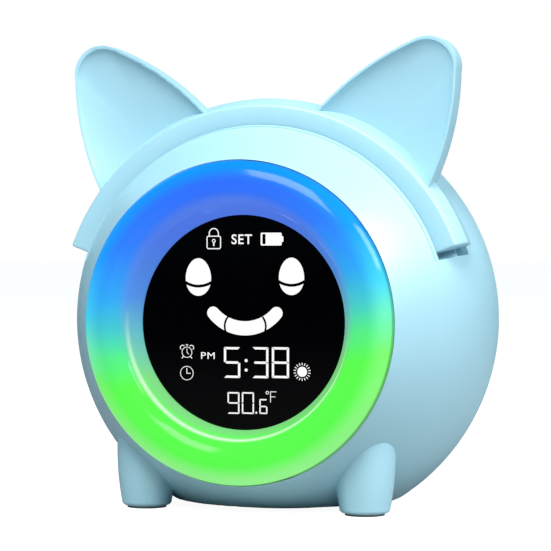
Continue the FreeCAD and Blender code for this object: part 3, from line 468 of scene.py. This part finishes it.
# each screw stands in a closed well, which ends in the wall of the ball
posts = join([drill(x, z, WELL_OUTSIDE, 18.6, 52, 48) for x, z in well_spots], "posts")
bpy.ops.object.select_all(action="DESELECT")
bpy.ops.mesh.primitive_uv_sphere_add(segments=96, ring_count=48, radius=59.0 * MM, location=CENTRE)
inside = bpy.context.object
modify(posts, "BOOLEAN", operation="INTERSECT", object=inside, solver="EXACT")
bpy.data.objects.remove(inside)
modify(cover, "BOOLEAN", operation="UNION", object=posts, solver="EXACT")
bpy.data.objects.remove(posts)
cutters = [drill(x, z, 4.0, 46, 52, 48) for x, z in key_spots.values()]
cutters += [drill(x, z, 0.8, 46, 52, 16) for x, z in grille]
cutters += [drill(x, z, HEAD_ROOM, WELL_FLOOR, 58, 48) for x, z in well_spots]
cutters += [drill(x, z, SHANK_ROOM, 16, WELL_FLOOR + 1, 24) for x, z in well_spots]
SOCKET_Z, SOCKET_HALF, SOCKET_END = -21.0, 2.9, 1.8
slot_line = []
for sx, begin in ((1, 90), (-1, 270)):
    for k in range(13):
        a = math.radians(begin - 180 * k / 12)
        x = sx * SOCKET_HALF + SOCKET_END * math.cos(a)
        slot_line.append(at(x, 46, SOCKET_Z + SOCKET_END * math.sin(a)))
slot_tool = chain(slot_line, "slot")
bpy.ops.mesh.edge_face_add()
bpy.ops.mesh.extrude_region_move(TRANSFORM_OT_translate={"value": (0, 6 * MM, 0)})
close()
cutters.append(slot_tool)
tool = join(cutters, "cutters")
modify(cover, "BOOLEAN", operation="DIFFERENCE", object=tool, solver="EXACT")
bpy.data.objects.remove(tool)
modify(cover, "BEVEL", width=0.15 * MM, segments=2, limit_method="ANGLE", angle_limit=math.radians(50))
smooth(cover)
modify(cover, "WEIGHTED_NORMAL", keep_sharp=True)
settle(cover, "rear_cover_skin", shell_abs, "case", "shell_blue", "rear_cover")

# Light ring: half a tube of milky plastic with a skirt behind it and a funnel down to the window
crest = arc3((43.5, -44.6), (37.3, -48.5), (31.2, -44.0), 30)
inside = arc3((33.2, -42.6), (37.3, -46.5), (41.5, -43.2), 20)
tube = [(43.5, -35.05)] + crest + [(29.0, -39.8), (29.0, -38.3), (30.4, -38.3)] + inside
tube += [(41.5, -35.05), (43.5, -35.05)]
ring = about_y(tube, name="ring_diffuser")
modify(ring, "BEVEL", width=0.35 * MM, segments=3, limit_method="ANGLE", angle_limit=math.radians(28))
smooth(ring, 40)
settle(ring, "ring_diffuser", ring_plastic, "case", "diffuser", "light_ring")

# Display window: black tinted acrylic with a fine polished edge and a flange behind
pane = [(0, -39.6), (28.55, -39.6), (28.8, -39.35), (28.8, -38.2), (31.2, -38.2), (31.2, -37.0), (0, -37.0)]
window = about_y(pane, name="display_pane")
smooth(window, 25)
settle(window, "display_pane", window_acrylic, "case", "window_black", "display_window")

# Display marks: thin lit plates just proud of the window, at places in mm read from the photograph.
# The dark lines over them stand a little prouder still.
MARK_FACE, MARK_THICK = -39.66, 0.09
LINE_FACE = MARK_FACE - 0.06


def shape(points, y=MARK_FACE, thick=MARK_THICK, name="mark"):
    """A thin plate with the given outline of (x, z) points."""
    piece = chain([at(x, y, z) for x, z in points], name)
    bpy.ops.mesh.edge_face_add()
    bpy.ops.mesh.extrude_region_move(TRANSFORM_OT_translate={"value": (0, thick * MM, 0)})
    close()
    return piece


def stroke(points, width, y=MARK_FACE, thick=MARK_THICK):
    """A plate that follows a line of (x, z) points at an even width, mitred at its corners."""
    half = width / 2
    left = []
    right = []
    for k, (x, z) in enumerate(points):
        ways = []
        if k > 0:
            ways.append(Vector((x - points[k - 1][0], z - points[k - 1][1])).normalized())
        if k < len(points) - 1:
            ways.append(Vector((points[k + 1][0] - x, points[k + 1][1] - z)).normalized())
        way = sum(ways, Vector((0, 0))).normalized()
        reach = half / max(0.5, way.dot(ways[0]))
        left.append((x - way.y * reach, z + way.x * reach))
        right.append((x + way.y * reach, z - way.x * reach))
    return shape(left + right[::-1], y, thick)


def hoop(x, z, radius, width, begin=0, end=360, steps=40, y=MARK_FACE):
    """A flat ring, or part of one, of the given outer radius."""
    inner = radius - width
    if end - begin >= 360:
        back = y + MARK_THICK
        outline = [(inner, y), (radius, y), (radius, back), (inner, back), (inner, y)]
        return about_y(outline, x=x, z=z, steps=steps)
    angles = [math.radians(begin + (end - begin) * k / steps) for k in range(steps + 1)]
    middle = radius - width / 2
    return stroke([(x + middle * math.sin(a), z + middle * math.cos(a)) for a in angles], width, y)


def dot(x, z, radius, steps=28, y=MARK_FACE, thick=MARK_THICK):
    """A flat round plate."""
    return about_y([(0, y), (radius, y), (radius, y + thick), (0, y + thick)], x=x, z=z, steps=steps)


def rounded(x0, x1, z0, z1, radius, steps=5):
    """Outline points of a rectangle with rounded corners."""
    corners = [(x1 - radius, z1 - radius, 0), (x0 + radius, z1 - radius, 90),
               (x0 + radius, z0 + radius, 180), (x1 - radius, z0 + radius, 270)]
    line = []
    for x, z, begin in corners:
        for k in range(steps + 1):
            a = math.radians(begin + 90 * k / steps)
            line.append((x + radius * math.cos(a), z + radius * math.sin(a)))
    return line


def word(text, x0, x1, z0, z1, weight=0.0):
    """Lettering fitted into a box on the display."""
    bpy.ops.object.select_all(action="DESELECT")
    bpy.ops.object.text_add(location=(0, 0, 0))
    made = bpy.context.object
    made.data.body = text
    made.data.extrude = MARK_THICK / 2
    made.data.offset = weight
    made.data.space_character = 1.12
    bpy.ops.object.convert(target="MESH")
    made = bpy.context.object
    spots = [v.co for v in made.data.vertices]
    low = Vector([min(p[k] for p in spots) for k in range(3)])
    high = Vector([max(p[k] for p in spots) for k in range(3)])
    wide = (x1 - x0) / (high.x - low.x)
    tall = (z1 - z0) / (high.y - low.y)
    for v in made.data.vertices:
        x = x0 + (v.co.x - low.x) * wide
        z = z0 + (v.co.y - low.y) * tall
        v.co = at(x, MARK_FACE + MARK_THICK / 2 - v.co.z, z)
    bpy.ops.object.mode_set(mode="EDIT")
    close()
    return made


def digit(lit, x0, x1, z0, z1, w, gap=0.1):
    """The lit bars of a seven-bar figure: a top, b and c right, d bottom, e and f left, g middle."""
    m = (z0 + z1) / 2
    h = w / 2
    g = gap
    bars = {
        "a": [(x0 + g, z1), (x1 - g, z1), (x1 - w - g, z1 - w), (x0 + w + g, z1 - w)],
        "d": [(x0 + g, z0), (x1 - g, z0), (x1 - w - g, z0 + w), (x0 + w + g, z0 + w)],
        "b": [(x1, z1 - g), (x1, m + g), (x1 - h, m + g), (x1 - w, m + h + g), (x1 - w, z1 - w - g)],
        "c": [(x1, z0 + g), (x1, m - g), (x1 - h, m - g), (x1 - w, m - h - g), (x1 - w, z0 + w + g)],
        "f": [(x0, z1 - g), (x0, m + g), (x0 + h, m + g), (x0 + w, m + h + g), (x0 + w, z1 - w - g)],
        "e": [(x0, z0 + g), (x0, m - g), (x0 + h, m - g), (x0 + w, m - h - g), (x0 + w, z0 + w + g)],
        "g": [(x0 + h + g, m), (x0 + w + g, m + h), (x1 - w - g, m + h), (x1 - h - g, m),
              (x1 - w - g, m - h), (x0 + w + g, m - h)],
    }
    return [shape(bars[bar]) for bar in lit]


def egg(x0, x1, z0, z1, steps=56):
    """An egg outline, a little narrower at the top."""
    x, z = (x0 + x1) / 2, (z0 + z1) / 2
    a, b = (x1 - x0) / 2, (z1 - z0) / 2
    line = []
    for k in range(steps):
        t = 2 * math.pi * k / steps
        line.append((x + a * math.sin(t) * (1 - 0.07 * math.cos(t)), z + b * math.cos(t)))
    return line


marks = []
lines = []
# padlock, lettering and battery
body = rounded(-9.98, -6.1, 19.88, 23.25, 0.5)
marks.append(stroke(body + body[:1], 0.27))
marks.append(stroke([(-9.35, 23.2), (-9.35, 24.0)] + arc3((-9.35, 24.05), (-8.04, 25.33), (-6.73, 24.05), 14)
                    + [(-6.73, 23.2)], 0.27))
marks.append(hoop(-8.04, 22.0, 0.52, 0.22, steps=20))
marks.append(stroke([(-8.04, 21.5), (-8.04, 20.6)], 0.34))
marks.append(word("SET", -2.95, 2.86, 21.08, 23.75, 0.012))
marks.append(shape(rounded(5.33, 11.25, 20.72, 24.16, 0.35)))
marks.append(shape(rounded(11.0, 11.74, 21.65, 23.25, 0.3)))
lines.append(shape(rounded(5.85, 6.72, 21.08, 23.8, 0.12), LINE_FACE))
# eyes and smile
for x0, x1, z0, z1 in ((-16.12, -8.84, 7.13, 17.30), (10.48, 17.56, 7.48, 17.49)):
    marks.append(shape(egg(x0, x1, z0, z1)))
    lid = arc3((x0 - 0.1, z0 + 3.65), ((x0 + x1) / 2, z0 + 2.62), (x1 + 0.1, z0 + 3.65), 20)
    lines.append(stroke(lid, 0.78, LINE_FACE))
SMILE_STEPS = 60
smile = arc3((-8.22, 2.55), (0.81, -1.53), (9.8, 2.6), SMILE_STEPS)
smile_centre = Vector((0.81, 10.32))
upper = []
lower = []
for k, (x, z) in enumerate(smile):
    half = 1.72 + 0.19 * math.sin(math.pi * k / SMILE_STEPS)
    out = (Vector((x, z)) - smile_centre).normalized()
    upper.append((x - out.x * half, z - out.y * half))
    lower.append((x + out.x * half, z + out.y * half))


def cap(spot, tip, steps=10):
    """The round end of the smile, from one side of the band to the other."""
    a = math.atan2(tip[1] - spot[1], tip[0] - spot[0])
    radius = math.hypot(tip[0] - spot[0], tip[1] - spot[1])
    angles = [a - math.pi * k / steps for k in range(1, steps)]
    return [(spot[0] + radius * math.cos(b), spot[1] + radius * math.sin(b)) for b in angles]


marks.append(shape(upper + cap(smile[-1], upper[-1]) + lower[::-1] + cap(smile[0], lower[0])))
lines.append(stroke(arc3((-3.9, 1.6), (-4.88, -0.62), (-4.5, -2.75), 12), 0.52, LINE_FACE))
lines.append(stroke(arc3((5.85, 1.6), (6.78, -0.55), (6.4, -2.75), 12), 0.52, LINE_FACE))
# time, with its small signs
marks += digit("afgcd", -5.13, -0.48, -14.92, -6.63, 0.62, 0.1)
marks += digit("abgcd", 3.0, 7.51, -14.85, -6.55, 0.62, 0.1)
marks += digit("abcdefg", 8.5, 13.34, -14.75, -6.48, 0.62, 0.1)
marks.append(dot(1.2, -10.2, 0.42))
marks.append(dot(1.2, -12.75, 0.42))
marks.append(word("PM", -11.7, -7.8, -9.9, -8.12, 0.0))
marks.append(hoop(-15.79, -8.2, 1.5, 0.16))
for side in (-1, 1):
    marks.append(hoop(-15.79 + side * 1.28, -6.95, 0.75, 0.2, side * 45 - 95, side * 45 + 95, 14))
    marks.append(stroke([(-15.79 + side * 1.05, -9.3), (-15.79 + side * 1.45, -9.85)], 0.22))
marks.append(stroke([(-15.79, -7.2), (-15.79, -8.25), (-15.25, -8.7)], 0.16))
marks.append(stroke([(-16.1, -6.2), (-15.48, -6.2)], 0.25))
marks.append(hoop(-15.83, -13.86, 1.92, 0.16, steps=48))
marks.append(stroke([(-15.83, -12.5), (-15.83, -13.9), (-14.75, -13.9)], 0.2))
marks.append(dot(17.02, -12.95, 1.35))
for k in range(18):
    a = 2 * math.pi * k / 18
    marks.append(stroke([(17.02 + 1.75 * math.sin(a), -12.95 + 1.75 * math.cos(a)),
                         (17.02 + 2.4 * math.sin(a), -12.95 + 2.4 * math.cos(a))], 0.22))
# temperature
marks += digit("abfgcd", -4.11, -0.71, -24.6, -18.76, 0.38, 0.09)
marks += digit("abcdef", 0.0, 3.42, -24.52, -18.7, 0.38, 0.09)
marks.append(dot(4.08, -24.16, 0.27, 16))
marks += digit("afgcde", 4.98, 7.22, -24.44, -20.46, 0.34, 0.08)
marks.append(hoop(7.22, -18.72, 0.46, 0.17, steps=20))
marks.append(stroke([(9.76, -18.45), (8.12, -18.45), (8.12, -21.3)], 0.17))
marks.append(stroke([(8.12, -19.8), (9.45, -19.8)], 0.17))
settle(join(marks, "display_marks"), "display_marks", segments, "case", "led_white")
settle(join(lines, "display_lines"), "display_lines", window_acrylic, "case", "window_black")

# Headband: a cap over the channel, with a crisp ridge in front, a crown and a flat radial cut at each end.
# Its hidden front skirt leans in, to keep clear of the channel when it is pressed.
band_line = [(52.7, -25.5), (54.0, -26.0), (59.3, -26.0), (61.5, -20.0), (60.4, -12.0), (57.3, -12.0),
             (57.0, -14.5), (52.9, -24.4), (52.7, -25.5)]
band = about_y(band_line, -69.6, 69.6, "headband_cap", FINE * 2)
bpy.ops.object.mode_set(mode="EDIT")
for side in (-1, 1):
    pick(band, "EDGE", lambda e: e.is_boundary and (e.verts[0].co - CENTRE).x * side > 0)
    bpy.ops.mesh.edge_face_add()
close()
modify(band, "BEVEL", width=0.4 * MM, segments=3, limit_method="ANGLE", angle_limit=math.radians(22))
smooth(band, 40)
settle(band, "headband_cap", shell_abs, "headband", "shell_blue", "headband")

# Ears: a thin rim around a scooped face, a flat side wall and a rounded back
EAR = {"root": (14.5, 55.6), "inside": (31.8, 70.2), "peak": (44.5, 76.6), "tip": (51.6, 75.9),
       "side": (55.2, 67.5), "outside": (53.8, 54.6), "heel": (46.7, 34.4)}
ear_line = arc3(EAR["root"], EAR["inside"], EAR["peak"], 30)
ear_line += arc3(EAR["peak"], EAR["tip"], EAR["side"], 16)[1:]
ear_line += arc3(EAR["side"], EAR["outside"], EAR["heel"], 30)[1:]
# the root is hidden in the headband and keeps clear of the channel's floor when the band is pressed
ROOT_RADIUS = 57.6
heel_angle, root_angle = math.radians(53.6), math.radians(14.6)
ROOT_STEPS = 24
for k in range(1, ROOT_STEPS):
    a = heel_angle + (root_angle - heel_angle) * k / ROOT_STEPS
    ear_line.append((ROOT_RADIUS * math.sin(a), ROOT_RADIUS * math.cos(a)))


def ear_side(front, rings, name, middle):
    """A surface from the ear's outline to its middle, an (x, z), by rings of (share of the outline, y)."""
    line = [at(x, front, z) for x, z in ear_line]
    piece = chain(line + line[:1], name)
    bpy.ops.mesh.remove_doubles(threshold=0.005 * MM)
    share, y = 1.0, front
    for next_share, next_y in rings:
        bpy.ops.mesh.extrude_region_move(TRANSFORM_OT_translate={"value": (0, (next_y - y) * MM, 0)})
        factor = next_share / share
        bpy.ops.transform.resize(value=(factor, 1, factor), center_override=at(middle[0], next_y, middle[1]))
        share, y = next_share, next_y
    bpy.ops.mesh.merge(type="CENTER")
    bpy.ops.object.mode_set(mode="OBJECT")
    return piece


EAR_FACE = -24.5
SCOOP_SHARE, SCOOP_DEPTH = 0.97, 5.0
scoop = [(SCOOP_SHARE, 0.0)]
for k in range(1, 15):
    a = math.radians(6 * k)
    scoop.append((SCOOP_SHARE * math.cos(a), SCOOP_DEPTH * math.sin(a) ** 1.1))
hump = [(1.0, 3.5), (1.0, 6.5), (0.993, 7.2), (0.972, 7.85), (0.94, 8.25), (0.895, 8.45), (0.8, 8.5),
        (0.6, 8.5), (0.4, 8.5), (0.2, 8.5)]
ear_front = ear_side(EAR_FACE, [(s, EAR_FACE + d) for s, d in scoop], "ear_front", (30.6, 45.0))
ear_back = ear_side(EAR_FACE, [(s, EAR_FACE + d) for s, d in hump], "ear_back", (41.0, 58.0))
right_ear = join([ear_front, ear_back], "ear_right")
bpy.ops.object.mode_set(mode="EDIT")
close()
modify(right_ear, "BEVEL", width=0.3 * MM, segments=3, limit_method="ANGLE", angle_limit=math.radians(40))
bpy.ops.object.select_all(action="DESELECT")
right_ear.select_set(True)
bpy.ops.object.duplicate()
left_ear = bpy.context.object
bpy.ops.object.mode_set(mode="EDIT")
bpy.ops.mesh.select_all(action="SELECT")
bpy.ops.transform.resize(value=(-1, 1, 1), center_override=CENTRE)
close()
for piece, node in ((right_ear, "right_ear"), (left_ear, "left_ear")):
    smooth(piece, 40)
    settle(piece, node + "_shell", shell_abs, "headband", "shell_blue", node)

# Feet: barrels that run into the ball and draw in towards their pads
foot_line = [(0, -26), (7.6, -26)] + arc3((7.6, -26.0), (8.1, -40.0), (6.9, -49.8), 18)[1:]
foot_line += arc3((6.9, -49.8), (6.55, -50.75), (5.9, -51.1), 6)[1:] + [(0, -51.1)]
for side, node in ((-1, "left_foot"), (1, "right_foot")):
    foot = about_z(foot_line, side * 31.5, -29.5)
    smooth(foot, 50)
    settle(foot, node + "_barrel", shell_abs, "case", "shell_blue", node)

# Rear keys: slightly dished caps, each with a small raised sign
key_line = [(0, 51.25), (1.2, 51.26), (2.3, 51.31), (3.2, 51.38), (3.5, 51.36), (3.72, 51.22), (3.8, 50.95),
            (3.8, 48.2), (4.7, 48.2), (4.7, 47.3), (0, 47.3)]
# the signs are plates sunk into the caps, and their backs are drawn deeper by SIGN_DEPTH
KEY_TOP, SIGN_DEPTH = 51.24, 0.14
for name, (x, z) in key_spots.items():
    key = about_y(key_line, x=x, z=z, steps=64)
    smooth(key, 40)
    settle(key, name + "_key_cap", key_abs, name + "_key", "key_blue", name + "_key")
    top_y = KEY_TOP
    if name == "mode":
        signs = [hoop(x, z, 1.5, 0.3, y=top_y), stroke([(x, z + 0.95), (x, z), (x - 0.7, z)], 0.28, top_y)]
    elif name == "light":
        signs = [dot(x, z, 0.75, y=top_y)]
        for k in range(8):
            a = 2 * math.pi * k / 8
            signs.append(stroke([(x + 1.1 * math.sin(a), z + 1.1 * math.cos(a)),
                                 (x + 1.75 * math.sin(a), z + 1.75 * math.cos(a))], 0.28, top_y))
    elif name == "alarm":
        bell = [(x - 1.5, z - 0.9), (x + 1.5, z - 0.9), (x + 1.0, z - 0.2)]
        bell += arc3((x + 0.95, z + 0.2), (x, z + 1.3), (x - 0.95, z + 0.2), 12) + [(x - 1.0, z - 0.2)]
        signs = [shape(bell, top_y), dot(x, z - 1.3, 0.35, y=top_y), dot(x, z + 1.45, 0.25, y=top_y)]
    else:
        way = 1 if name == "up" else -1
        signs = [shape([(x - 1.4, z - way * 0.8), (x + 1.4, z - way * 0.8), (x, z + way * 1.3)], top_y)]
    sign = join(signs, name + "_key_sign")
    for v in sign.data.vertices:
        v.co.y += SIGN_DEPTH * MM if v.co.y > at(0, top_y + MARK_THICK / 2, 0).y else 0.0
    settle(sign, name + "_key_sign", white_abs, name + "_key", "white_plastic")

# Floor, light and camera

bpy.ops.object.select_all(action="DESELECT")
bpy.ops.mesh.primitive_plane_add(size=30.0, location=(0, 0, 0))
floor = bpy.context.object
floor.name = "floor"
ground, tree, out = blank("white studio sweep")
seen = add(tree, "ShaderNodeLightPath")
base = add(tree, "ShaderNodeBsdfDiffuse", {"Color": paint("#A8A8A8")})
lift = add(tree, "ShaderNodeEmission", {"Color": paint("#FFFFFF"), "Strength": 0.95})
both = add(tree, "ShaderNodeAddShader", (), {0: base.outputs[0], 1: lift.outputs[0]})
pick_out = add(tree, "ShaderNodeMixShader", (), {0: seen.outputs["Is Camera Ray"], 1: base.outputs[0],
                                                 2: both.outputs[0]})
tree.links.new(pick_out.outputs[0], out.inputs["Surface"])
floor.data.materials.append(ground)

world = bpy.data.worlds.new("studio")
bpy.context.scene.world = world
world.use_nodes = True
world.node_tree.nodes.clear()
sky = world.node_tree
path = add(sky, "ShaderNodeLightPath")
through = add(sky, "ShaderNodeMath", {"operation": "MAXIMUM"},
              {0: path.outputs["Is Camera Ray"], 1: path.outputs["Is Transmission Ray"]})
soft = add(sky, "ShaderNodeBackground", {"Color": paint("#8FD0E8"), "Strength": 0.17})
mirrored = add(sky, "ShaderNodeBackground", {"Color": paint("#CFEAF5"), "Strength": 0.25})
white = add(sky, "ShaderNodeBackground", {"Color": paint("#FFFFFF"), "Strength": 1.0})
around = add(sky, "ShaderNodeMixShader", (), {0: path.outputs["Is Glossy Ray"], 1: soft.outputs[0],
                                              2: mirrored.outputs[0]})
chosen = add(sky, "ShaderNodeMixShader", (), {0: through.outputs[0], 1: around.outputs[0],
                                              2: white.outputs[0]})
sky.links.new(chosen.outputs[0], add(sky, "ShaderNodeOutputWorld").inputs["Surface"])


def softbox(name, place, side, power):
    """A square area lamp at a place in mm that faces the ball's centre."""
    lamp = bpy.data.lights.new(name, "AREA")
    lamp.shape = "SQUARE"
    lamp.size = side * MM
    lamp.energy = power
    holder = bpy.data.objects.new(name, lamp)
    bpy.context.collection.objects.link(holder)
    holder.location = at(*place)
    way = CENTRE - holder.location
    holder.rotation_euler = way.to_track_quat("-Z", "Y").to_euler()


softbox("key", (650, -50, 470), 320, 5.2)
softbox("front", (20, -560, 650), 440, 9.2)

camera = bpy.data.cameras.new("camera")
camera.lens = 147.13
camera.sensor_width = 36.0
camera.sensor_fit = "HORIZONTAL"
camera.clip_end = 100.0
eye = bpy.data.objects.new("camera", camera)
bpy.context.collection.objects.link(eye)
eye.location = Vector((200.48, -613.51, 70.73)) * MM
eye.rotation_euler = Vector((-0.31697, 0.94838, -0.01051)).to_track_quat("-Z", "Y").to_euler()
bpy.context.scene.camera = eye
bpy.context.scene.view_settings.view_transform = "Standard"
